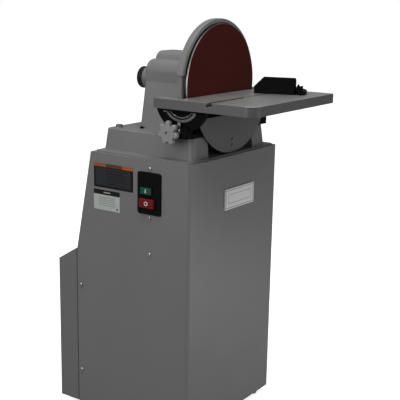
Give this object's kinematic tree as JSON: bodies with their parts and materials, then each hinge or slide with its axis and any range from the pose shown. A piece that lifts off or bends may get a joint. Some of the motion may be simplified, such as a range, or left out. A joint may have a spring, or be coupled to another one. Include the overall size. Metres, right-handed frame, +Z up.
{
  "type": "disc_sander",
  "caption": "Twelve-inch disc sander on a closed grey sheet-metal stand, with tilting cast table, mitre gauge, half guard, side switch and an enclosed belt drive",
  "frame": {"origin": "On the floor under the middle of the whole machine's outline; the rubber feet stand at z = 0", "axes": "+Z up and the longest way; the sanding disc faces -Y with the table in front of it; +X is to the right of someone facing the disc, spindle axis along Y at z = 0.920"},
  "size_m": [0.44, 0.6135, 1.085],
  "materials": {
    "grey_paint": "satin grey paint with fine orange peel",
    "black_metal": "black semi-gloss paint on castings and pressings",
    "machined_iron": "ground top, satin",
    "steel": "machined steel",
    "bright_bolts": "zinc plated",
    "disc_aluminium": "turned and cast aluminium, satin",
    "abrasive_paper": "coated abrasive, dark red-brown grit",
    "black_plastic": "moulded black plastic",
    "green_plastic": "moulded green",
    "red_plastic": "moulded red",
    "printed_label": "printed film on thin backing",
    "rubber": "black rubber",
    "motor_paint": "dark grey motor enamel"
  },
  "bodies": {
    "frame": {"base_bolts": "bright_bolts", "base_casting": "grey_paint", "bracket_bolts": "bright_bolts", "bracket_foot_bolts": "bright_bolts", "cap_screws": "bright_bolts", "column": "grey_paint", "cord_gland": "black_plastic", "cover_screws": "grey_paint", "cross_brace": "black_metal", "disc_housing": "grey_paint", "drive_belt": "rubber", "feet": "rubber", "foot_bolts": "bright_bolts", "front_plate": "black_metal", "lower_cover_bracket": "grey_paint", "lower_disc_cover": "grey_paint", "lower_label_plate": "printed_label", "motor_base": "black_metal", "motor_bolts": "bright_bolts", "motor_cover": "grey_paint", "motor_end_bells": "disc_aluminium", "motor_housing": "motor_paint", "motor_shelf": "black_metal", "rear_bearing_cap": "grey_paint", "side_screws": "bright_bolts", "spindle_bearings": "steel", "stand_body": "grey_paint", "stand_deck": "grey_paint", "stand_floor_frame": "grey_paint", "stand_rear_panel": "grey_paint", "stand_top_plate": "grey_paint", "switch_box": "black_plastic", "switch_plate": "black_plastic", "tilt_pointer": "black_metal", "trunnion_bracket_left": "black_metal", "trunnion_bracket_right": "black_metal", "upper_guard": "grey_paint", "upper_label_plate": "printed_label"},
    "spindle": {"spindle": "steel", "disc_plate": "disc_aluminium", "abrasive_disc": "abrasive_paper", "rear_knob": "black_plastic", "spindle_pulley": "steel"},
    "motor_rotor": {"motor_rotor": "steel", "motor_pulley": "steel"},
    "table": {"table": "machined_iron", "trunnion_left": "black_metal", "trunnion_right": "black_metal", "trunnion_wear_rings": "steel", "tilt_scale": "steel", "trunnion_bolts": "bright_bolts"},
    "lock_left": {"lock_knob_left": "disc_aluminium", "lock_stud_left": "steel"},
    "lock_right": {"lock_knob_right": "disc_aluminium", "lock_stud_right": "steel"},
    "start_button": {"start_button": "green_plastic"},
    "stop_button": {"stop_button": "red_plastic"},
    "mitre_bar": {"mitre_bar": "steel"},
    "mitre_head": {"mitre_head": "black_metal"},
    "mitre_knob": {"mitre_knob": "black_plastic"}
  },
  "joints": [
    {"name": "spindle_spin", "type": "hinge", "parent": "frame", "child": "spindle", "pos_m": [0, 0, 0.92], "axis": [0, 1, 0], "continuous": true},
    {"name": "motor_spin", "type": "hinge", "parent": "frame", "child": "motor_rotor", "pos_m": [0, 0, 0.26], "axis": [0, 1, 0], "continuous": true},
    {"name": "table_tilt", "type": "hinge", "parent": "frame", "child": "table", "pos_m": [0, -0.0865, 0.8953], "axis": [1, 0, 0], "range_deg": [-15, 45]},
    {"name": "left_lock_turn", "type": "hinge", "parent": "frame", "child": "lock_left", "pos_m": [-0.2, -0.062, 0.813], "axis": [1, 0, 0], "range_deg": [-180, 180]},
    {"name": "right_lock_turn", "type": "hinge", "parent": "frame", "child": "lock_right", "pos_m": [0.2, -0.062, 0.813], "axis": [1, 0, 0], "range_deg": [-180, 180]},
    {"name": "start_press", "type": "slide", "parent": "frame", "child": "start_button", "axis": [1, 0, 0], "range_m": [0, 0.003], "stiffness_N_per_m": 400, "springref_m": -0.001},
    {"name": "stop_press", "type": "slide", "parent": "frame", "child": "stop_button", "axis": [1, 0, 0], "range_m": [0, 0.005], "stiffness_N_per_m": 400, "springref_m": -0.001},
    {"name": "gauge_slide", "type": "slide", "parent": "table", "child": "mitre_bar", "axis": [1, 0, 0], "range_m": [-0.16, 0.05]},
    {"name": "gauge_swing", "type": "hinge", "parent": "mitre_bar", "child": "mitre_head", "pos_m": [0.1, -0.18, 0.9], "axis": [0, 0, 1], "range_deg": [-78, 42]},
    {"name": "gauge_knob_turn", "type": "hinge", "parent": "mitre_head", "child": "mitre_knob", "pos_m": [0.1, -0.18, 0.92], "axis": [0, 0, 1], "range_deg": [-180, 180]}
  ],
  "couplings": [
    {"joint": "spindle_spin", "follows": "motor_spin", "ratio": 1}
  ]
}
